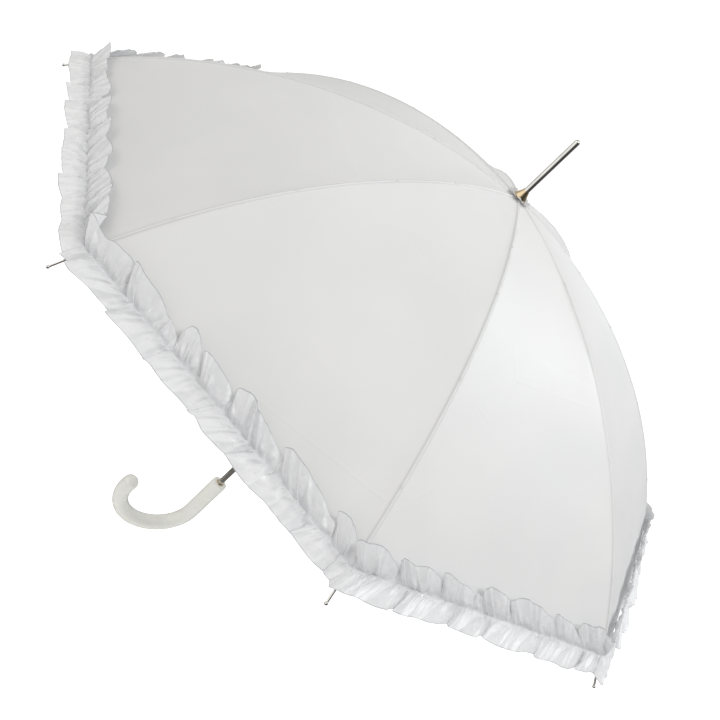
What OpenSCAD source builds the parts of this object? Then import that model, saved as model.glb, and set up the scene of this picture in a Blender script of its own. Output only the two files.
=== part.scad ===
// Open stick umbrella: eight gores on eight ribs, a gathered frill round the hem,
// and a crook handle. Origin at the middle of the straight grip, +Z up the shaft.

/* [Canopy] */
// Radius of the circle through the rib tips
tip_circle_r = 510; // [508:1:512]
// Radius of the arc that every rib follows
dome_r = 700; // [698:1:703]
// Slope of the rib below the horizontal at the top of the shaft
top_slope = 2.3; // [2.2:0.1:2.4]
// Height of the canopy's top above the middle of the grip
canopy_z = 648; // [645:1:651]
// Thickness of the stretched cloth
cloth_t = 0.8; // [0.6:0.1:0.9]
// How far the hem's corner stops short of the bead on the tip
hem_inset = 30; // [28:1:31]

/* [Frill] */
// Width of the ribbon that the frill is gathered from
frill_w = 50; // [46:1:54]
// How high the gathers stand above the cloth
frill_t = 8.4; // [6:0.1:9]
// Distance from the bead's end to the frill's line of stitches
frill_inset = 39; // [38:1:41]

/* [Ribs and stretchers] */
// Width of a rib across its channel
rib_w = 2.4; // [2.2:0.1:2.4]
// Depth of a rib
rib_h = 2.4; // [2.2:0.1:2.6]
// Clear space between the cloth and the ribs
rib_gap = 0.9; // [0.8:0.1:1]
// Distance along the dome from its top to the stretcher's rivet
clip_run = 248; // [246:1:249]
// Distance along the dome from its top to the place where the rib flexes
flex_run = 256; // [255:1:258]
// Distance of the rib and stretcher hinges from the shaft's axis
hinge_r = 10; // [9.8:0.1:10.2]
// Radius of the two wire rings that the ribs and stretchers turn on
wire_r = 0.7; // [0.6:0.05:0.75]

/* [Shaft and handle] */
// Outer radius of the tubular shaft
shaft_r = 4; // [4:0.05:4.05]
// Radius of the ferrule that stands out of the canopy
ferrule_r = 3.6; // [3.5:0.05:3.7]
// Height of the ferrule's end above the canopy
ferrule_rise = 97; // [90:1:104]
// Radius of the grip
grip_r = 11.5; // [10:0.5:12.5]
// Length of the grip's straight part
grip_len = 74; // [70:1:78]
// Radius of the crook to the middle of its section
crook_r = 57; // [52:1:58]
// How far the crook turns
crook_turn = 190; // [175:1:195]

/* [Hidden] */
$fn = 48;
RIBS = 8;
PITCH = 360 / RIBS;
FIRST_RIB = 24;                   // the crook points along +X, between two ribs
ARC_FN = 360;                     // keeps the long arcs smooth
CROOK_FN = 96;
CLEAR = 0.08;                     // running clearance of every hinge
press = 0.05;                     // gap round pieces that are pushed home

// the dome: one arc in the plane of a rib, centred below and behind the top
arc_x = -dome_r * sin(top_slope);
arc_z = canopy_z - dome_r * cos(top_slope);
tip_slope = asin((tip_circle_r - arc_x) / dome_r);
tip_run = (tip_slope - top_slope) * PI / 180 * dome_r;
function slope_at(run) = top_slope + run / dome_r * 180 / PI;
function slope_at_radius(r, rho) = asin((r - arc_x) / rho);
function dome_point(slope, rho) = [arc_x + rho * sin(slope), 0, arc_z + rho * cos(slope)];

COLUMNS = 8;                      // strips of cloth across a panel
SEAM_GAP = 0.2;                   // half the cut between neighbouring panels
frill_gap = 0.6;
shaft_clear = 0.7;

// ribs
rib_rho = dome_r - cloth_t - rib_gap - rib_h / 2;
eye_r = 2.1;
rivet_r = 0.8;
clip_slope = slope_at(clip_run);
flex_slope = slope_at(flex_run);
flex_cut = 0.1 / dome_r * 180 / PI;
rib_end_run = tip_run - hem_inset + 2;
rib_end_slope = slope_at(rib_end_run);
ear_t = 0.7;
ear_r = 2.2;
ear_side_gap = 0.15;
rivet_head = 0.4;
saddle_tall = 4.4;
saddle_half = 0.18;               // degrees of the dome's arc

// linkage: crown hinge, clip rivet and runner hinge make equal arms
fold_turn = 70;                   // how far a rib swings down
crown_drop = 4.5;
clip_drop = 3.5;
crown_z = canopy_z - crown_drop;
clip_p = dome_point(clip_slope, rib_rho - rib_h / 2 - clip_drop);
arm = norm([clip_p[0] - hinge_r, 0, clip_p[2] - crown_z]);
arm_slope = asin((crown_z - clip_p[2]) / arm);
runner_z = crown_z - 2 * arm * sin(arm_slope);

// notched rings that hold the ribs and the stretchers
notch_r = 13;
hub_r = 7.6;
slot_w = rib_w + 0.4;
bend_r = wire_r + 0.2;           // bead at each bend of a wire ring
groove_w = 3.1 * bend_r;
stretcher_w = 2;
stretcher_h = 2.2;
stretcher_eye_r = 1.9;
crown_below = 4.5;
crown_above = 2.5;
runner_wall_r = 6.2;
runner_flange = 4;
runner_len = 45;
window_w = 3.4;
window_low = -36;
window_high = -22;

// shaft and what sits on its top
mouth_z = grip_len / 2;
collar_r = 6.2;
collar_h = 3.6;
collar_seat = 4;
end_step = 0.02;                  // the crook's round end is this much slimmer
shaft_bore_r = 3.2;
socket_depth = 42;
rosette_t = 1.7;
rosette_z = canopy_z + 0.3;
shaft_top = rosette_z + rosette_t;
cup_z = shaft_top + 0.3;
cup_h = 10.7;
cup_r = 9;
cup_wall = 0.8;
cup_neck = 1.5;                   // height of the cup's thick top ring
cup_lip = 1;
ferrule_neck_r = 3.4;
spigot_len = 20;
rosette_r = 17;

// sprung catches in the shaft
catch_w = 1.8;
catch_slot_w = 2.4;
catch_tall = 34;
catch_out = 6.3;
catch_in = 1.2;
catch_t = 1.2;
catch_nose = 5;
top_catch_z = runner_z - runner_len - catch_tall - 1;
closed_runner_z = crown_z - 2 * arm * sin(arm_slope + fold_turn);
bottom_catch_z = closed_runner_z + window_high - 1.5 - catch_tall;

module at_rib(k) {
    rotate([0, 0, FIRST_RIB + PITCH * (k - 1)]) children();
}

// bar that follows the dome between two slopes, in the plane of a rib
module dome_bar(rho, tall, wide, from, to) {
    translate([arc_x, 0, arc_z])
        rotate([90, 0, 0])
            rotate([0, 0, 90 - to])
                rotate_extrude(angle = to - from, $fn = ARC_FN)
                    translate([rho - tall / 2, -wide / 2])
                        square([tall, wide]);
}

// cylinder across the plane of a rib
module cross_pin(p, r, wide) {
    translate(p) rotate([90, 0, 0]) cylinder(r = r, h = wide, center = true);
}

// closed band of cloth over one rib's sector: rows follow the dome, columns follow
// the straight chord from this rib to the middle of each neighbouring gore
function band_point(slope, rho, u) =
    let (p = dome_point(slope, rho),
         half = sin(PITCH) / 2,
         back = (1 - cos(PITCH)) / 2)
    [p[0] * (1 - back * abs(u)), p[0] * half * u, p[2]];
function trimmed(p, u, gap) =
    abs(u) < 1 ? p : p - gap * [-sin(PITCH / 2), sign(u) * cos(PITCH / 2), 0];

module cloth_band(slopes, rho_low, rho_high, columns, gap) {
    rows = len(slopes);
    across = columns + 1;
    side = rows * across;
    function spot(rho) = [for (s = slopes) for (c = [0:columns])
        let (u = 2 * c / columns - 1) trimmed(band_point(s, rho, u), u, gap)];
    function id(r, c, layer) = layer * side + r * across + c;
    skin = [for (r = [0:rows - 2]) for (c = [0:columns - 1]) each [
        [id(r, c, 1), id(r + 1, c, 1), id(r, c + 1, 1)],
        [id(r, c + 1, 1), id(r + 1, c, 1), id(r + 1, c + 1, 1)],
        [id(r, c, 0), id(r, c + 1, 0), id(r + 1, c, 0)],
        [id(r, c + 1, 0), id(r + 1, c + 1, 0), id(r + 1, c, 0)]]];
    ends = [for (c = [0:columns - 1]) each [
        [id(0, c, 0), id(0, c, 1), id(0, c + 1, 1)],
        [id(0, c, 0), id(0, c + 1, 1), id(0, c + 1, 0)],
        [id(rows - 1, c, 1), id(rows - 1, c, 0), id(rows - 1, c + 1, 0)],
        [id(rows - 1, c, 1), id(rows - 1, c + 1, 0), id(rows - 1, c + 1, 1)]]];
    sides = [for (r = [0:rows - 2]) each [
        [id(r, 0, 1), id(r, 0, 0), id(r + 1, 0, 0)],
        [id(r, 0, 1), id(r + 1, 0, 0), id(r + 1, 0, 1)],
        [id(r, columns, 0), id(r, columns, 1), id(r + 1, columns, 1)],
        [id(r, columns, 0), id(r + 1, columns, 1), id(r + 1, columns, 0)]]];
    polyhedron(points = concat(spot(rho_low), spot(rho_high)),
               faces = concat(skin, ends, sides));
}

// notched ring: a hub with one slot for each arm and a groove for the wire
module notched_ring(low, high, z) {
    difference() {
        translate([0, 0, low]) cylinder(r = notch_r, h = high - low);
        for (k = [1:RIBS]) at_rib(k) translate([hub_r, -slot_w / 2, low - 1])
            cube([notch_r, slot_w, high - low + 2]);
        translate([0, 0, z - bend_r - press]) rotate_extrude()
            translate([hinge_r - bend_r, 0]) square([groove_w, high - z + bend_r + 1]);
    }
}

// ring of straight wires, so that every arm turns on a true pin; each bend is a bead
module wire_ring(z) {
    straight = 2 * hinge_r * tan(PITCH / 2) - bend_r;
    for (k = [1:RIBS]) at_rib(k) {
        cross_pin([hinge_r, 0, z], wire_r, straight);
        rotate([0, 0, PITCH / 2]) translate([hinge_r / cos(PITCH / 2), 0, z])
            sphere(r = bend_r);
    }
}

module crown() {
    color("gainsboro") difference() {
        notched_ring(crown_z - crown_below, crown_z + crown_above, crown_z);
        cylinder(r = shaft_r, h = canopy_z + 10);
    }
}

module crown_wire() {
    color("silver") wire_ring(crown_z);
}

module runner_wire() {
    color("silver") wire_ring(runner_z);
}

// sliding runner: notched flange on a sleeve with a window for the lower catch
module runner() {
    color("gainsboro") difference() {
        union() {
            notched_ring(runner_z - runner_flange, runner_z + runner_flange, runner_z);
            translate([0, 0, runner_z - runner_len])
                cylinder(r = runner_wall_r, h = runner_len);
        }
        translate([0, 0, runner_z - runner_len - 1])
            cylinder(r = shaft_r + CLEAR, h = runner_len + runner_flange + 2);
        translate([0, -window_w / 2, runner_z + window_low])
            cube([notch_r, window_w, window_high - window_low]);
    }
}

module shaft() {
    color("silver") difference() {
        translate([0, 0, mouth_z - socket_depth])
            cylinder(r = shaft_r, h = shaft_top - mouth_z + socket_depth);
        translate([0, 0, mouth_z - socket_depth - 1])
            cylinder(r = shaft_bore_r, h = canopy_z + socket_depth);
        for (z = [top_catch_z, bottom_catch_z])
            translate([0, -catch_slot_w / 2, z - 1])
                cube([shaft_r + 1, catch_slot_w, catch_tall + 3]);
    }
}

// leaf catch: hinged low down inside the shaft, its nose stands out near the top
module catch_leaf(z) {
    translate([0, catch_w / 2, z]) rotate([90, 0, 0]) linear_extrude(catch_w) polygon([
        [catch_in, 0], [catch_in + catch_t, 0], [catch_out, catch_tall - catch_nose],
        [catch_out, catch_tall], [catch_in + 1, catch_tall], [catch_in, catch_tall / 2]]);
}

module top_catch() {
    color("silver") catch_leaf(top_catch_z);
}

module bottom_catch() {
    color("silver") catch_leaf(bottom_catch_z);
}

// rod with a rounded end, a neck for the cup and a spigot for the shaft
module ferrule() {
    color("silver") {
        translate([0, 0, shaft_top - spigot_len])
            cylinder(r = shaft_bore_r - press, h = spigot_len);
        translate([0, 0, shaft_top]) cylinder(r = ferrule_neck_r, h = cup_z + cup_h - shaft_top);
        translate([0, 0, cup_z + cup_h])
            cylinder(r = ferrule_r, h = ferrule_rise - ferrule_r + canopy_z - cup_z - cup_h);
        translate([0, 0, canopy_z + ferrule_rise - ferrule_r]) sphere(r = ferrule_r);
    }
}

module ferrule_cup() {
    color("goldenrod") translate([0, 0, cup_z]) rotate_extrude() polygon([
        [cup_r - cup_wall, 0], [cup_r, 0], [cup_r - cup_lip / 2, cup_lip],
        [ferrule_r + cup_lip, cup_h - cup_neck], [ferrule_r + cup_lip, cup_h],
        [ferrule_neck_r + press, cup_h], [ferrule_neck_r + press, cup_h - cup_neck]]);
}

module top_rosette() {
    color("white") translate([0, 0, rosette_z]) difference() {
        cylinder(r = rosette_r, h = rosette_t);
        translate([0, 0, -1]) cylinder(r = shaft_r + press, h = rosette_t + 2);
    }
}

// inner rib: arc with an eye on the crown wire and a riveted clip for the stretcher
module rib_inner(k) {
    from = slope_at_radius(hinge_r, rib_rho);
    eye = [hinge_r, 0, crown_z];
    ear_gap = stretcher_w / 2 + ear_side_gap;
    color("silver") at_rib(k) {
        difference() {
            union() {
                dome_bar(rib_rho, rib_h, rib_w, from, flex_slope - flex_cut);
                cross_pin(eye, eye_r, rib_w);
            }
            cross_pin(eye, wire_r + CLEAR, rib_w + 2);
        }
        for (s = [-1, 1]) translate([0, s * (ear_gap + ear_t / 2), 0]) {
            cross_pin(clip_p, ear_r, ear_t);
            dome_bar(rib_rho - saddle_tall / 2, saddle_tall, ear_t,
                     clip_slope - saddle_half, clip_slope + saddle_half);
        }
        cross_pin(clip_p, rivet_r, 2 * (ear_gap + ear_t + rivet_head));
    }
}

module rib_outer(k) {
    color("silver") at_rib(k) dome_bar(rib_rho, rib_h, rib_w, flex_slope, rib_end_slope);
}

// tip: sleeve on the rib's end, then a pin with a bead
module rib_tip(k) {
    sleeve = 6;
    sleeve_r = 1.5;
    pin_r = 1.15;
    bead_r = 1.8;
    pin_len = tip_run - rib_end_run - bead_r;
    color("silver") at_rib(k) translate(dome_point(rib_end_slope, rib_rho))
        rotate([0, 90 + rib_end_slope, 0]) {
            cylinder(r = sleeve_r, h = sleeve);
            cylinder(r = pin_r, h = pin_len);
            translate([0, 0, pin_len]) sphere(r = bead_r);
        }
}

// stretcher: straight bar from the runner's wire up to the clip's rivet
module stretcher(k) {
    color("silver") at_rib(k) translate([hinge_r, 0, runner_z]) rotate([0, -arm_slope, 0])
        difference() {
            union() {
                translate([0, -stretcher_w / 2, -stretcher_h / 2])
                    cube([arm, stretcher_w, stretcher_h]);
                for (x = [0, arm]) cross_pin([x, 0, 0], stretcher_eye_r, stretcher_w);
            }
            cross_pin([0, 0, 0], wire_r + CLEAR, stretcher_w + 2);
            cross_pin([arm, 0, 0], rivet_r + CLEAR, stretcher_w + 2);
        }
}

module canopy_panel(k) {
    rows = 14;
    from = slope_at_radius(shaft_r + shaft_clear, dome_r);
    to = slope_at(tip_run - hem_inset);
    color("white") at_rib(k) cloth_band(
        [for (i = [0:rows]) from + (to - from) * i / rows],
        dome_r - cloth_t, dome_r, COLUMNS, SEAM_GAP);
}

module frill(k) {
    middle = tip_run - frill_inset;
    color("whitesmoke") at_rib(k) cloth_band(
        [for (i = [-2:2]) slope_at(middle + frill_w / 4 * i)],
        dome_r + frill_gap, dome_r + frill_gap + frill_t, COLUMNS, SEAM_GAP);
}

// straight grip and crook in one piece, hollow where the shaft and collar fit
module handle() {
    chamfer = 1.2;
    color("ivory") difference() {
        union() {
            translate([0, 0, -mouth_z]) cylinder(r = grip_r, h = grip_len - chamfer);
            translate([0, 0, mouth_z - chamfer])
                cylinder(r1 = grip_r, r2 = grip_r - chamfer, h = chamfer);
            translate([crook_r, 0, -mouth_z]) rotate([90, 0, 0]) rotate([0, 0, 180])
                rotate_extrude(angle = crook_turn, $fn = CROOK_FN)
                    translate([crook_r, 0]) circle(r = grip_r);
            translate([crook_r, 0, -mouth_z]) rotate([0, -crook_turn, 0])
                translate([-crook_r, 0, 0]) sphere(r = grip_r - end_step);
        }
        translate([0, 0, mouth_z - socket_depth]) cylinder(r = shaft_r, h = socket_depth + 1);
        translate([0, 0, mouth_z - collar_seat]) cylinder(r = collar_r, h = collar_seat + 1);
    }
}

module handle_collar() {
    color("goldenrod") translate([0, 0, mouth_z - collar_seat]) difference() {
        cylinder(r = collar_r, h = collar_h);
        translate([0, 0, -1]) cylinder(r = shaft_r, h = collar_h + 2);
    }
}

shaft();
ferrule();
ferrule_cup();
top_rosette();
crown();
crown_wire();
handle();
handle_collar();
runner();
runner_wire();
top_catch();
bottom_catch();
for (k = [1:RIBS]) {
    rib_inner(k);
    rib_outer(k);
    rib_tip(k);
    stretcher(k);
    canopy_panel(k);
    frill(k);
}
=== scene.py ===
import functools
import math

import bmesh
import bpy
from mathutils import Matrix, Vector, noise


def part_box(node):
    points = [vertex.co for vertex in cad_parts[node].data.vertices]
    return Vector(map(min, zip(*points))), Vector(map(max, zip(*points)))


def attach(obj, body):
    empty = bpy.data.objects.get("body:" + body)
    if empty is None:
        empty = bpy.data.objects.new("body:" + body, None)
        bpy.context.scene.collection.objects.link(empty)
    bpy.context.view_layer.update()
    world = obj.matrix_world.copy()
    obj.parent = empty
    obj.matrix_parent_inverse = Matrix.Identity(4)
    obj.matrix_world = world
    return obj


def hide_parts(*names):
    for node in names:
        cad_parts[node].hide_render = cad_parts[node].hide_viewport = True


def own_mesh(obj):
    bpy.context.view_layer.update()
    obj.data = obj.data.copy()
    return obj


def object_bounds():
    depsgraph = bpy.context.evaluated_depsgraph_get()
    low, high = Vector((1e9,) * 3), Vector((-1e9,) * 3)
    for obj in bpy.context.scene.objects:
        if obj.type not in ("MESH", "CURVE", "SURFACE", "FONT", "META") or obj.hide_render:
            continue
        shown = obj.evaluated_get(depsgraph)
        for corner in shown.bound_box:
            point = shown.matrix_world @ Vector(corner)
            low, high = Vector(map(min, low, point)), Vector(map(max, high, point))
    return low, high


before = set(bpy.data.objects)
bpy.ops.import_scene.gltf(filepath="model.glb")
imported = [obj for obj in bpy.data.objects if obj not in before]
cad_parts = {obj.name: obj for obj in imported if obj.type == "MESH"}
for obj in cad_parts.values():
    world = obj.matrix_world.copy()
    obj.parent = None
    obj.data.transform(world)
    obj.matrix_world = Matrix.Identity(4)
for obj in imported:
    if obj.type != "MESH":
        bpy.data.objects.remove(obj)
cadLow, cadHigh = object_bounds()
print("frame loaded")

# camera: it leans over with the shaft, which runs across the view from low left to high right
cameraSpec = {"place": (0.6853, 0.9165, 0.8957), "aim": (0.0168, 0.0390, 0.3643), "roll": 46.63, "lens": 47.1}
cameraData = bpy.data.cameras.new("camera")
cameraData.lens = cameraSpec["lens"]
camera = bpy.data.objects.new("camera", cameraData)
bpy.context.collection.objects.link(camera)
camera.location = cameraSpec["place"]
lookAlong = (Vector(cameraSpec["aim"]) - camera.location).to_track_quat("-Z", "Y")
rolled = Matrix.Rotation(math.radians(cameraSpec["roll"]), 3, "Z")
camera.rotation_euler = (lookAlong.to_matrix() @ rolled).to_euler()
bpy.context.scene.camera = camera
print("camera placed")


# ---- materials ----
def startMaterial(name, colour, rough, metal=0.0, **sockets):
    material = bpy.data.materials.new(name)
    material.use_nodes = True
    shader = material.node_tree.nodes["Principled BSDF"]
    shader.inputs["Base Color"].default_value = (*colour, 1)
    shader.inputs["Roughness"].default_value = rough
    shader.inputs["Metallic"].default_value = metal
    for socket, value in sockets.items():
        shader.inputs[socket.replace("_", " ")].default_value = value
    return material, material.node_tree, shader


def addNode(tree, kind, **settings):
    node = tree.nodes.new(kind)
    for key, value in settings.items():
        if key in node.inputs:
            node.inputs[key].default_value = value
        else:
            setattr(node, key, value)
    return node


def patternPlace(tree, source="Object", stretch=(1, 1, 1)):
    where = addNode(tree, "ShaderNodeTexCoord")
    mapping = addNode(tree, "ShaderNodeMapping")
    mapping.inputs["Scale"].default_value = stretch
    tree.links.new(where.outputs[source], mapping.inputs["Vector"])
    return mapping.outputs["Vector"]


def noiseOf(tree, place, scale, detail=4.0, rough=0.55):
    node = addNode(tree, "ShaderNodeTexNoise", Scale=scale, Detail=detail, Roughness=rough)
    tree.links.new(place, node.inputs["Vector"])
    return node.outputs["Fac"]


def rampOf(tree, value, stops):
    ramp = addNode(tree, "ShaderNodeValToRGB")
    elements = ramp.color_ramp.elements
    for spare in range(len(stops) - 2):
        elements.new(0.5)
    for element, (at, colour) in zip(elements, stops):
        element.position = at
        element.color = (*colour, 1) if len(colour) == 3 else colour
    tree.links.new(value, ramp.inputs["Fac"])
    return ramp.outputs["Color"]


def mathOf(tree, operation, first, second):
    node = addNode(tree, "ShaderNodeMath", operation=operation)
    for socket, value in zip(node.inputs, (first, second)):
        if isinstance(value, (int, float)):
            socket.default_value = value
        else:
            tree.links.new(value, socket)
    return node.outputs["Value"]


def bumpInto(tree, shader, height, strength, distance, after=None):
    bump = addNode(tree, "ShaderNodeBump", Strength=strength, Distance=distance)
    tree.links.new(height, bump.inputs["Height"])
    if after is not None:
        tree.links.new(after, bump.inputs["Normal"])
    tree.links.new(bump.outputs["Normal"], shader.inputs["Normal"])
    return bump.outputs["Normal"]


# evenly spaced threads: a wave texture of scale 1 has a band about every 0.31 m
def threadsOf(tree, place, pitch, direction):
    wave = addNode(tree, "ShaderNodeTexWave", wave_type="BANDS", bands_direction=direction, Scale=0.31 / pitch)
    tree.links.new(place, wave.inputs["Vector"])
    return wave.outputs["Fac"]


def weaveOf(tree, place, pitch):
    return mathOf(tree, "ADD", threadsOf(tree, place, pitch, "X"), threadsOf(tree, place, pitch, "Y"))


# thin cloth lets a share of the light through to its other side
def letThrough(tree, shader, share, colour):
    through = addNode(tree, "ShaderNodeBsdfTranslucent", Color=(*colour, 1))
    blend = addNode(tree, "ShaderNodeMixShader", Fac=share)
    tree.links.new(shader.outputs["BSDF"], blend.inputs[1])
    tree.links.new(through.outputs["BSDF"], blend.inputs[2])
    tree.links.new(blend.outputs["Shader"], tree.nodes["Material Output"].inputs["Surface"])


def pongee(name, through=0.0):
    # the seam ramp darkens the cloth across each rib seam: partly the felled seam's double layer, partly painted
    # shadow beside the seam ridge
    spec = {"pitch": 0.0006, "mottle": 9.0, "slub": 900.0, "fold": 6.0,
            "seam": [(0.0, 1.0), (0.10, 0.97), (0.15, 0.82), (0.22, 0.90), (0.30, 1.0)]}
    material, tree, shader = startMaterial(
        name, (0.80, 0.80, 0.80), 0.46, Sheen_Weight=0.08, Sheen_Roughness=0.45, Specular_IOR_Level=0.5)
    tint = rampOf(tree, noiseOf(tree, patternPlace(tree), spec["mottle"], 3.0),
                  [(0.3, (0.785, 0.788, 0.792)), (0.7, (0.815, 0.815, 0.813))])
    across = addNode(tree, "ShaderNodeSeparateXYZ")
    tree.links.new(patternPlace(tree, "UV", (100, 1, 1)), across.inputs["Vector"])
    # a darker line on both sides of every rib seam, multiplied into the tint: partly the felled seam's
    # double-layer edge, partly painted shadow of the raised seam ridge
    seamEdgeAndShadow = rampOf(tree, mathOf(tree, "ABSOLUTE", across.outputs["X"], 0.0),
                  [(at, (shade,) * 3) for at, shade in spec["seam"]])
    tintWithSeamShadow = addNode(tree, "ShaderNodeVectorMath", operation="MULTIPLY")
    tree.links.new(tint, tintWithSeamShadow.inputs[0])
    tree.links.new(seamEdgeAndShadow, tintWithSeamShadow.inputs[1])
    tree.links.new(tintWithSeamShadow.outputs["Vector"], shader.inputs["Base Color"])
    worn = noiseOf(tree, patternPlace(tree), spec["mottle"] * 2, 2.0)
    tree.links.new(rampOf(tree, worn, [(0.3, (0.37,) * 3), (0.7, (0.45,) * 3)]), shader.inputs["Roughness"])
    folds = addNode(tree, "ShaderNodeTexVoronoi", feature="DISTANCE_TO_EDGE", Scale=spec["fold"])
    tree.links.new(patternPlace(tree, "Object", (1, 1, 0.6)), folds.inputs["Vector"])
    line = rampOf(tree, folds.outputs["Distance"], [(0.0, (1, 1, 1)), (0.010, (0.2,) * 3), (0.03, (0, 0, 0))])
    patch = rampOf(tree, noiseOf(tree, patternPlace(tree), 7.0, 1.0), [(0.45, (0, 0, 0)), (0.62, (1, 1, 1))])
    first = bumpInto(tree, shader, mathOf(tree, "MULTIPLY", line, patch), 0.30, 0.0006)
    slubs = noiseOf(tree, patternPlace(tree, "UV", (1, 0.05, 1)), spec["slub"], 2.0)
    second = bumpInto(tree, shader, slubs, 0.06, 0.0004, first)
    bumpInto(tree, shader, weaveOf(tree, patternPlace(tree, "UV"), spec["pitch"]), 0.08, 0.0002, second)
    if through:
        letThrough(tree, shader, through, (0.9, 0.9, 0.9))
    return material


def satin():
    spec = {"pitch": 0.0005, "edge": 0.020, "pleat": 300.0, "through": 0.16}
    material, tree, shader = startMaterial(
        "whiteSatin", (0.83, 0.835, 0.85), 0.36, Sheen_Weight=0.12, Sheen_Roughness=0.3,
        Specular_IOR_Level=0.8, Anisotropic=0.3)
    uv = addNode(tree, "ShaderNodeUVMap")
    split = addNode(tree, "ShaderNodeSeparateXYZ")
    tree.links.new(uv.outputs["UV"], split.inputs["Vector"])
    fromMiddle = mathOf(tree, "ABSOLUTE", mathOf(tree, "SUBTRACT", split.outputs["Y"], 0.5), 0.0)
    edge = rampOf(tree, fromMiddle, [
        (0.0, (0.79, 0.798, 0.82)), (0.12, (0.83, 0.835, 0.85)),
        (0.5 - spec["edge"], (0.83, 0.835, 0.85)), (0.5 - spec["edge"] * 0.5, (0.42, 0.43, 0.46))])
    tree.links.new(edge, shader.inputs["Base Color"])
    glow = rampOf(tree, noiseOf(tree, patternPlace(tree), 60.0, 2.0),
                  [(0.3, (0.22,) * 3), (0.7, (0.36,) * 3)])
    tree.links.new(glow, shader.inputs["Roughness"])
    pleats = noiseOf(tree, patternPlace(tree, "UV", (1, 0.045, 1)), spec["pleat"], 3.0)
    fade = rampOf(tree, fromMiddle, [(0.0, (1, 1, 1)), (0.5, (0.12,) * 3)])
    wrinkles = bumpInto(tree, shader, mathOf(tree, "MULTIPLY", pleats, fade), 0.6, 0.0012)
    threads = threadsOf(tree, patternPlace(tree, "UV"), spec["pitch"], "X")
    bumpInto(tree, shader, threads, 0.05, 0.0002, wrinkles)
    letThrough(tree, shader, spec["through"], (0.95, 0.955, 0.97))
    return material


def chrome(name, colour, rough, streak):
    material, tree, shader = startMaterial(name, colour, rough, 1.0)
    scratch = noiseOf(tree, patternPlace(tree, "Object", (1, 1, 0.05)), streak, 5.0)
    polish = rampOf(tree, scratch, [(0.25, (rough * 0.7,) * 3), (0.8, (min(1, rough * 1.8),) * 3)])
    tree.links.new(polish, shader.inputs["Roughness"])
    stain = noiseOf(tree, patternPlace(tree), streak * 0.15, 3.0)
    dull = tuple(part * 0.82 for part in colour)
    tree.links.new(rampOf(tree, stain, [(0.3, dull), (0.65, colour)]), shader.inputs["Base Color"])
    bumpInto(tree, shader, scratch, 0.03, 0.0002)
    return material


def plastic(name, colour, rough, coat):
    material, tree, shader = startMaterial(name, colour, rough, Coat_Weight=coat, Coat_Roughness=0.08,
                                           Subsurface_Weight=0.12, Subsurface_Scale=0.004)
    shader.inputs["Subsurface Radius"].default_value = (1.0, 0.9, 0.8)
    warm = tuple(part * shift for part, shift in zip(colour, (0.985, 0.985, 0.965)))
    tree.links.new(rampOf(tree, noiseOf(tree, patternPlace(tree), 18.0, 3.0), [(0.35, warm), (0.7, colour)]),
                   shader.inputs["Base Color"])
    handled = noiseOf(tree, patternPlace(tree), 90.0, 5.0)
    tree.links.new(rampOf(tree, handled, [(0.3, (rough * 0.8,) * 3), (0.75, (rough * 1.5,) * 3)]),
                   shader.inputs["Roughness"])
    bumpInto(tree, shader, noiseOf(tree, patternPlace(tree), 240.0, 2.0), 0.05, 0.0003)
    return material


canopyCloth = pongee("whitePongee")
rosetteCloth = pongee("rosetteCloth", 0.45)
ribbonSatin = satin()
shaftChrome = chrome("shaftChrome", (0.70, 0.685, 0.66), 0.07, 300.0)
ribSteel = chrome("zincSteel", (0.55, 0.55, 0.56), 0.28, 500.0)
wireSteel = chrome("springWire", (0.45, 0.45, 0.46), 0.32, 700.0)
cupBrass = chrome("cupBrass", (0.70, 0.56, 0.36), 0.10, 400.0)
gripPlastic = plastic("gripPlastic", (0.84, 0.84, 0.805), 0.22, 0.6)
notchNylon = plastic("notchNylon", (0.78, 0.78, 0.77), 0.42, 0.0)
print("materials made")

finishes = {
    "shaft": shaftChrome, "ferrule": shaftChrome, "ferrule_cup": cupBrass, "handle": gripPlastic,
    "handle_collar": cupBrass, "crown": notchNylon, "runner": notchNylon, "crown_wire": wireSteel,
    "runner_wire": wireSteel, "top_catch": wireSteel, "bottom_catch": wireSteel,
    "rib": ribSteel, "stretcher": ribSteel, "rib_tip": shaftChrome}


def dress(thing, material):
    thing.data.materials.clear()
    thing.data.materials.append(material)


for nodeName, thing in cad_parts.items():
    stem = nodeName.rstrip("_0123456789")
    family = stem if stem in finishes else stem.split("_")[0]
    if family in finishes:
        dress(thing, finishes[family])
print("metal and plastic dressed")

# ---- the dome that every rib follows, and the straight chords of the gores between them ----
dome = {"radius": 0.700, "slope": math.radians(2.3), "ribs": 8, "firstRib": math.radians(24),
        "tipRun": 0.5856, "sag": 0.005, "seamWide": 0.0020, "seamHigh": 0.0013, "crease": 0.0011,
        "creaseSize": (26, 26, 7), "creaseFrom": 0.30, "billow": 0.0016, "billowSize": 11, "stillTo": 0.12,
        "flare": 0.0045, "flareWide": 0.055, "tuck": 0.0008, "tuckOver": 0.004, "lap": 0.012,
        "hemHigh": 0.0004, "hemFold": 0.008, "hemStep": 0.006, "leastWide": 0.001}
dome["top"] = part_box("canopy_panel_1")[1].z
dome["pitch"] = 2 * math.pi / dome["ribs"]
halfChord = math.sin(dome["pitch"]) / 2
chordBack = (1 - math.cos(dome["pitch"])) / 2
hemRun = dome["tipRun"] - 0.030
flexRun = 0.256
startRun = 0.005


def turned(k):
    return Matrix.Rotation(dome["firstRib"] + dome["pitch"] * (k - 1), 3, "Z")


def easeOver(value, low, high):
    share = min(1.0, max(0.0, (value - low) / (high - low)))
    return share * share * (3 - 2 * share)


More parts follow.
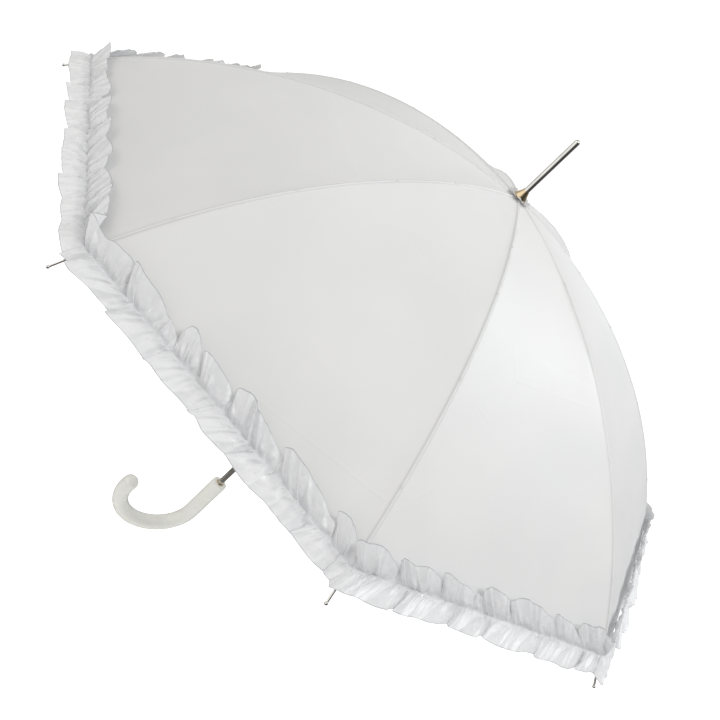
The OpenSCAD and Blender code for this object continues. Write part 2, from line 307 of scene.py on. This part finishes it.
# a point of the dome: run along the rib, u across to the middle of the next gore, lift off the cloth
def domeSpot(run, u, lift=0.0):
    slope = dome["slope"] + run / dome["radius"]
    rho = dome["radius"] + lift
    reach = rho * math.sin(slope) - dome["radius"] * math.sin(dome["slope"])
    rise = dome["top"] + rho * math.cos(slope) - dome["radius"] * math.cos(dome["slope"])
    return Vector((reach * (1 - chordBack * abs(u)), reach * halfChord * u, rise))


# the ribbon's stiffness turns the hem out a little between the ribs
def flareAt(run, u):
    side = min(1.0, abs(u))
    past = max(0.0, (run - hemRun) / dome["flareWide"] + 1)
    return dome["flare"] * past * past * side * (2 - side)


def canopySpot(run, u, k, start=0.0):
    side = min(2.0, abs(u))
    fromSeam = abs(u) * max(dome["leastWide"], domeSpot(run, 1).y)
    sag = dome["sag"] * side * (2 - side) * math.sin(math.pi * min(1.0, run / hemRun))
    seam = dome["seamHigh"] * math.exp(-(fromSeam / dome["seamWide"]) ** 2)
    base = turned(k) @ domeSpot(run, u)
    pull = easeOver(run, dome["creaseFrom"], hemRun) * (0.3 + 0.7 * easeOver(side, 1.0, 0.0))
    creasePlace = Vector([part * size for part, size in zip(base, dome["creaseSize"])])
    ripple = noise.noise(creasePlace) * dome["crease"] * pull
    ripple += noise.noise(base * dome["billowSize"]) * dome["billow"]
    tuck = dome["tuck"] * easeOver(start - run, 0, dome["tuckOver"])
    hem = dome["hemHigh"] * easeOver(run, hemRun - dome["hemFold"], hemRun - dome["hemStep"])
    lift = seam + hem + ripple * easeOver(side, 0.0, dome["stillTo"]) - sag - tuck + flareAt(run, u)
    return turned(k) @ domeSpot(run, u, lift)


# ribbon: gathered along its middle into shells, one half stands on the cloth, the other hangs past the hem
frillSpec = {"width": 0.050, "line": dome["tipRun"] - 0.039, "shells": 7, "hems": 6, "stand": 0.0086,
             "hang": 0.0065, "spread": 0.0042, "lean": -2.3, "leanVary": 1.3, "wander": 0.72, "waver": 0.12,
             "uneven": 0.55, "coarseFolds": 4.5, "narrowFolds": 9, "fine": 0.0010, "crumple": 0.0026,
             "crumpleSize": 90.0, "crumpleSlide": 0.0012, "crumpleRun": 0.0014, "rest": 0.0005,
             "puff": 0.0013, "ridge": 0.0032, "ridges": 26, "rise": 0.0012, "droop": -0.0045,
             "rows": 26, "columns": 540, "patternLong": 0.30, "keep": 0.2}


def ringNoise(g, size, seed):
    angle = 2 * math.pi * g / dome["ribs"]
    return noise.noise(Vector((math.cos(angle) * size, math.sin(angle) * size, seed)))


@functools.lru_cache(maxsize=None)
def foldsAt(g, upper):
    seed = 3.1 if upper else 8.7
    turns = (frillSpec["shells"] if upper else frillSpec["hems"]) * g
    turns += frillSpec["wander"] * ringNoise(g, 9.0, seed) + frillSpec["waver"] * ringNoise(g, 23.0, seed + 1)
    arch = abs(math.sin(math.pi * turns)) ** 0.8
    tall = 1 + frillSpec["uneven"] * ringNoise(g, 13.0, seed + 2)
    high = (frillSpec["stand"] if upper else frillSpec["hang"]) * tall * arch
    lean = frillSpec["lean"] + frillSpec["leanVary"] * ringNoise(g, 5.0, seed + 4)
    slide = -frillSpec["spread"] * math.sin(2 * math.pi * turns)
    coarse = math.sin(2 * math.pi * (turns * frillSpec["coarseFolds"] + 1.2 * ringNoise(g, 36.0, seed + 3)))
    narrow = math.sin(2 * math.pi * (turns * frillSpec["narrowFolds"] + 2 * ringNoise(g, 60.0, seed + 5)))
    torn = ringNoise(g, 21.0, seed + 6)
    if upper:
        scallop = 0.44 + 0.58 * arch ** 0.75 * (1 + 0.35 * ringNoise(g, 31.0, seed)) + 0.22 * torn
    else:
        scallop = 0.88 + 0.12 * arch + 0.14 * torn
    return high, lean, slide, coarse, narrow, arch, scallop


# sharp folds that cross the ribbon from edge to edge and bend at its middle
def ridgeAt(g, v):
    phase = frillSpec["ridges"] * g + 1.3 * ringNoise(g, 14.0, 2.2) + 0.30 * abs(v)
    phase += 0.35 * ringNoise(g, 30.0, 1.1 * v)
    bold = 0.55 + 0.9 * ringNoise(g, 11.0, 6.6 + 0.8 * v)
    return max(0.0, bold) * (1 - abs(math.sin(math.pi * phase))) ** 1.3


def frillSpot(v, u, k):
    g = k + u / 2
    upper = v > 0
    far = abs(v)
    high, lean, slide, coarse, narrow, arch, scallop = foldsAt(g, upper)
    near = min(1.0, far * 7)
    rise = high * far ** 0.8
    fan = (coarse * math.exp(-0.5 * far) + 0.6 * narrow * math.exp(-2.6 * far)) * near
    crush = ringNoise(g, frillSpec["crumpleSize"], 5.2 + 3 * v)
    puff = math.exp(-2.2 * far)
    lift = frillSpec["rest"] + rise + frillSpec["fine"] * (fan + 1) * near
    lift += frillSpec["puff"] * (1 - far) + frillSpec["ridge"] * ridgeAt(g, v)
    lift += frillSpec["crumple"] * (crush + 0.45) * puff * (0.4 + 0.6 * near)
    lift += frillSpec["rise"] * far if upper else frillSpec["droop"] * far * far * (1 - 0.6 * arch)
    shift = slide * far + lean * rise + frillSpec["crumpleSlide"] * crush * puff
    run = frillSpec["line"] - frillSpec["width"] / 2 * v * (1 + (scallop - 1) * far)
    run += frillSpec["crumpleRun"] * crush * puff
    along = Vector((-chordBack * math.copysign(1, u or 1), halfChord, 0)).normalized()
    return turned(k) @ (domeSpot(run, u, lift + flareAt(run, u)) + along * shift)


# a cloth grid laid out by formula; one spare row and column all round gives the normals at its edges
def sheetPiece(name, spotOf, rows, columns, k, uvOf, material):
    columnAt = [side if callable(side) else (lambda run, side=side: side) for side in columns]
    spareLeft = lambda run: 2 * (-1 if columns[0] == -1 else columnAt[0](run)) - columnAt[1](run)
    spareRight = lambda run: 2 - columnAt[-2](run)
    allRows = [2 * rows[0] - rows[1]] + rows + [2 * rows[-1] - rows[-2]]
    allColumns = [spareLeft] + columnAt + [spareRight]
    places = [[spotOf(row, column(row), k) for column in allColumns] for row in allRows]
    shape = bmesh.new()
    uvLayer = shape.loops.layers.uv.new("clothUv")
    bmesh.ops.create_grid(shape, x_segments=len(columns) - 1, y_segments=len(rows) - 1, size=1)
    cells = []
    normals = []
    for vertex in shape.verts:
        i = round((vertex.co.y + 1) / 2 * (len(rows) - 1)) + 1
        j = round((vertex.co.x + 1) / 2 * (len(columns) - 1)) + 1
        cells.append((rows[i - 1], columnAt[j - 1](rows[i - 1])))
        vertex.co = places[i][j]
        down, across = places[i + 1][j] - places[i - 1][j], places[i][j + 1] - places[i][j - 1]
        normals.append(down.cross(across).normalized())
    for face in shape.faces:
        for loop in face.loops:
            loop[uvLayer].uv = uvOf(*cells[loop.vert.index])
    centre = Vector((0, 0, dome["top"] - dome["radius"]))
    if sum(normal.dot(vertex.co - centre) for vertex, normal in zip(shape.verts, normals)) < 0:
        normals = [-normal for normal in normals]
    shape.normal_update()
    if sum(face.normal.dot(normals[face.verts[0].index]) for face in shape.faces) < 0:
        bmesh.ops.reverse_faces(shape, faces=shape.faces)
    thing = meshThing(name, shape, material)
    thing.data.normals_split_custom_set_from_vertices(normals)
    return thing


def meshThing(name, shape, material):
    mesh = bpy.data.meshes.new(name)
    shape.to_mesh(mesh)
    shape.free()
    mesh.shade_smooth()
    mesh.materials.append(material)
    thing = bpy.data.objects.new(name, mesh)
    bpy.context.collection.objects.link(thing)
    return thing


def spread(low, high, count):
    return [low + (high - low) * i / count for i in range(count + 1)]


def acrossSeam(offset):
    def placed(run):
        width = max(dome["leastWide"], domeSpot(run, 1).y)
        return offset / width * min(1.0, width / 0.020)
    return placed


seamColumns = [0.0005, 0.0011, 0.0018, 0.0028, 0.0045, 0.008]
plainColumns = [0.14, 0.2, 0.28, 0.36, 0.45, 0.54, 0.63, 0.72, 0.81, 0.9, 1.0]


def panelColumns():
    near = [acrossSeam(offset) for offset in seamColumns]
    far = [(lambda run, share=share: acrossSeam(seamColumns[-1])(run) +
            (1 - acrossSeam(seamColumns[-1])(run)) * (share - 0.1) / 0.9) for share in plainColumns]
    right = near + far
    left = [(lambda run, side=side: -side(run)) for side in reversed(right)]
    return left + [lambda run: 0.0] + right


bands = [
    {"name": "top", "from": startRun, "to": 0.080, "rows": 12, "body": "inner_rib_", "keep": 0.44},
    {"name": "middle", "from": 0.080, "to": flexRun, "rows": 22, "body": "inner_rib_", "keep": 0.3},
    {"name": "outer", "from": flexRun, "to": hemRun, "rows": 44, "body": "outer_rib_", "keep": 0.24}]


def canopyUv(row, u):
    return (u * domeSpot(row, 1).y, row)


def buildCanopy():
    columns = panelColumns()
    for k in range(1, dome["ribs"] + 1):
        for band in bands:
            lap = dome["lap"] if band["from"] > startRun else 0.0
            rows = spread(band["from"] - lap, band["from"], 3)[:-1] if lap else []
            rows += spread(band["from"], band["to"], band["rows"])
            spotOf = functools.partial(canopySpot, start=band["from"])
            panel = sheetPiece(f"canopy_{band['name']}_{k}", spotOf, rows, columns, k, canopyUv, canopyCloth)
            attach(panel, f"{band['body']}{k}")
            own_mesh(panel)
            if band["name"] == "outer":
                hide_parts(f"canopy_panel_{k}")
    print("canopy sewn")


def frillUv(v, u):
    return (u * frillSpec["patternLong"], 0.5 + v / 2)


def buildFrill():
    rows = spread(-1, 1, frillSpec["rows"])
    columns = spread(-1, 1, frillSpec["columns"])
    for k in range(1, dome["ribs"] + 1):
        ruffle = sheetPiece(f"frill_gathered_{k}", frillSpot, rows, columns, k, frillUv, ribbonSatin)
        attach(ruffle, f"outer_rib_{k}")
        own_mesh(ruffle)
        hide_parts(f"frill_{k}")
    print("frill gathered")


buildCanopy()
buildFrill()


# ---- rosette: pinked discs of cloth under the cup, ruffled up round its mouth ----
rosetteSpec = {"radius": 0.0172, "hole": 0.0041, "points": 26, "layers": 2, "ruffle": 0.0017,
               "tooth": 0.0018, "rest": 0.0003, "layerStep": 0.0007, "rings": 9, "perPoint": 6}


def rosetteSpot(share, angle, layer, bottom):
    spec = rosetteSpec
    saw = abs((angle * spec["points"] / (2 * math.pi) + layer / 2) % 1 - 0.5) * spec["tooth"]
    saw *= easeOver(share, 0.7, 1)
    radius = spec["hole"] + (spec["radius"] * (1 - 0.12 * layer) - spec["hole"] - saw) * share
    wave = math.sin(angle * 5 + layer * 2) + 0.5 * math.sin(angle * 8 + 1)
    wave += 0.35 * math.sin(angle * 13 + layer)
    lift = spec["ruffle"] * share * share * (1.35 + 0.7 * wave) + spec["rest"] + spec["layerStep"] * layer
    return Vector((radius * math.cos(angle), radius * math.sin(angle), bottom + lift))


def buildRosette():
    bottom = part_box("top_rosette")[0].z
    shape = bmesh.new()
    rings, around = rosetteSpec["rings"], rosetteSpec["points"] * rosetteSpec["perPoint"]
    for layer in range(rosetteSpec["layers"]):
        bmesh.ops.create_grid(shape, x_segments=around, y_segments=rings, size=1)
    perLayer = (around + 1) * (rings + 1)
    for index, vertex in enumerate(shape.verts):
        share, angle = (vertex.co.y + 1) / 2, math.pi * (vertex.co.x + 1)
        vertex.co = rosetteSpot(share, angle, index // perLayer, bottom)
    bmesh.ops.remove_doubles(shape, verts=shape.verts, dist=1e-6)
    bmesh.ops.recalc_face_normals(shape, faces=shape.faces)
    rosette = meshThing("rosette", shape, rosetteCloth)
    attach(rosette, "root")
    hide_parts("top_rosette")
    print("rosette cut")


buildRosette()

# ---- thread tacks that tie the cloth to each rib, seen as small stitches along the seam ----
tackSpec = {"inner": (0.125, 0.212), "outer": (0.335, 0.462), "long": 0.0017, "thick": 0.00032,
            "stitches": 3, "step": 0.0009, "skew": 0.25}


def buildTacks():
    for k in range(1, dome["ribs"] + 1):
        for body in ("inner", "outer"):
            shape = bmesh.new()
            for run in tackSpec[body]:
                for stitch in range(tackSpec["stitches"]):
                    at = turned(k) @ domeSpot(run + tackSpec["step"] * stitch, 0, dome["seamHigh"])
                    lay = Matrix.Diagonal((tackSpec["thick"], tackSpec["long"], tackSpec["thick"], 1))
                    turn = turned(k).to_4x4() @ Matrix.Rotation(tackSpec["skew"] * (-1) ** stitch, 4, "Z")
                    bmesh.ops.create_uvsphere(shape, u_segments=10, v_segments=6, radius=1,
                                              matrix=Matrix.Translation(at) @ turn @ lay)
            tacks = meshThing(f"tacks_{body}_{k}", shape, canopyCloth)
            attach(tacks, f"{body}_rib_{k}")
    print("tacks tied")


buildTacks()

# ---- floor, light and air ----
stageSpec = {"drop": 0.60, "size": 5.2, "shade": (0.95, 0.95, 0.95), "mirrored": (0.22, 0.21, 0.20), "glow": 0.55}
floorMesh = bpy.data.meshes.new("floor")
floorShape = bmesh.new()
bmesh.ops.create_grid(floorShape, x_segments=1, y_segments=1, size=stageSpec["size"] / 2)
bmesh.ops.translate(floorShape, verts=floorShape.verts, vec=(0, 0, cadLow.z - stageSpec["drop"]))
floorShape.to_mesh(floorMesh)
floorShape.free()
floor = bpy.data.objects.new("floor", floorMesh)
bpy.context.collection.objects.link(floor)
paleFloor, floorTree, floorShader = startMaterial("paleFloor", stageSpec["shade"], 0.9)
floorShader.inputs["Emission Color"].default_value = (1, 1, 1, 1)
# the metal sees a darker floor than the eye does, so a vertical tube keeps its contrast
floorRay = addNode(floorTree, "ShaderNodeLightPath")
floorShade = rampOf(floorTree, floorRay.outputs["Is Glossy Ray"],
                    [(0.0, stageSpec["shade"]), (1.0, stageSpec["mirrored"])])
floorTree.links.new(floorShade, floorShader.inputs["Base Color"])
notGlossy = mathOf(floorTree, "SUBTRACT", 1.0, floorRay.outputs["Is Glossy Ray"])
floorGlow = mathOf(floorTree, "MULTIPLY", notGlossy, stageSpec["glow"])
floorTree.links.new(floorGlow, floorShader.inputs["Emission Strength"])
dress(floor, paleFloor)

lights = [
    {"name": "topLight", "place": (-0.30, 1.25, 3.05), "size": 1.3, "power": 27.5, "colour": (1.0, 1.0, 1.0)},
    {"name": "backLight", "place": (-1.95, -0.35, 2.35), "size": 1.2, "power": 14.5, "colour": (0.94, 0.98, 1.0)},
    {"name": "warmLight", "place": (2.60, -0.60, 1.30), "size": 1.5, "power": 6.5, "colour": (1.0, 0.95, 0.86)},
    {"name": "farLight", "place": (0.70, -2.60, 0.85), "size": 1.4, "power": 0.3, "colour": (1.0, 1.0, 1.0)}]
for light in lights:
    lamp = bpy.data.lights.new(light["name"], "AREA")
    lamp.size = light["size"]
    lamp.energy = light["power"]
    lamp.color = light["colour"]
    holder = bpy.data.objects.new(light["name"], lamp)
    bpy.context.collection.objects.link(holder)
    holder.location = light["place"]
    holder.rotation_euler = (Vector((0, 0, 0.5)) - holder.location).to_track_quat("-Z", "Y").to_euler()
# air: white where the camera sees it, even for soft light, a ring of light and dark walls for the metal
airSpec = {"seen": 1.15, "soft": 0.59, "tint": (1, 0.995, 0.98, 1), "walls": [
    (0.0, 0.22), (0.10, 0.50), (0.20, 0.55), (0.30, 0.50), (0.40, 0.80), (0.47, 1.30),
    (0.57, 1.40), (0.64, 0.80), (0.69, 0.12), (0.84, 0.04), (0.93, 0.20), (1.0, 0.22)]}
air = bpy.data.worlds.new("air")
air.use_nodes = True
sky = air.node_tree
background = sky.nodes["Background"]
background.inputs["Color"].default_value = airSpec["tint"]
ray = addNode(sky, "ShaderNodeLightPath")
heading = addNode(sky, "ShaderNodeSeparateXYZ")
sky.links.new(addNode(sky, "ShaderNodeTexCoord").outputs["Generated"], heading.inputs["Vector"])
bearing = mathOf(sky, "ARCTAN2", heading.outputs["Y"], heading.outputs["X"])
bearing = mathOf(sky, "ADD", mathOf(sky, "MULTIPLY", bearing, 0.5 / math.pi), 0.5)
walls = rampOf(sky, bearing, [(at, (shade / 2,) * 3) for at, shade in airSpec["walls"]])
mirrored = mathOf(sky, "SUBTRACT", mathOf(sky, "MULTIPLY", walls, 2.0), airSpec["soft"])
metalSees = mathOf(sky, "MULTIPLY", ray.outputs["Is Glossy Ray"], mirrored)
strength = mathOf(sky, "ADD", metalSees, airSpec["soft"])
seen = mathOf(sky, "MULTIPLY", ray.outputs["Is Camera Ray"], airSpec["seen"] - airSpec["soft"])
sky.links.new(mathOf(sky, "ADD", strength, seen), background.inputs["Strength"])
bpy.context.scene.view_settings.view_transform = "Standard"
bpy.context.scene.world = air
print("stage lit")
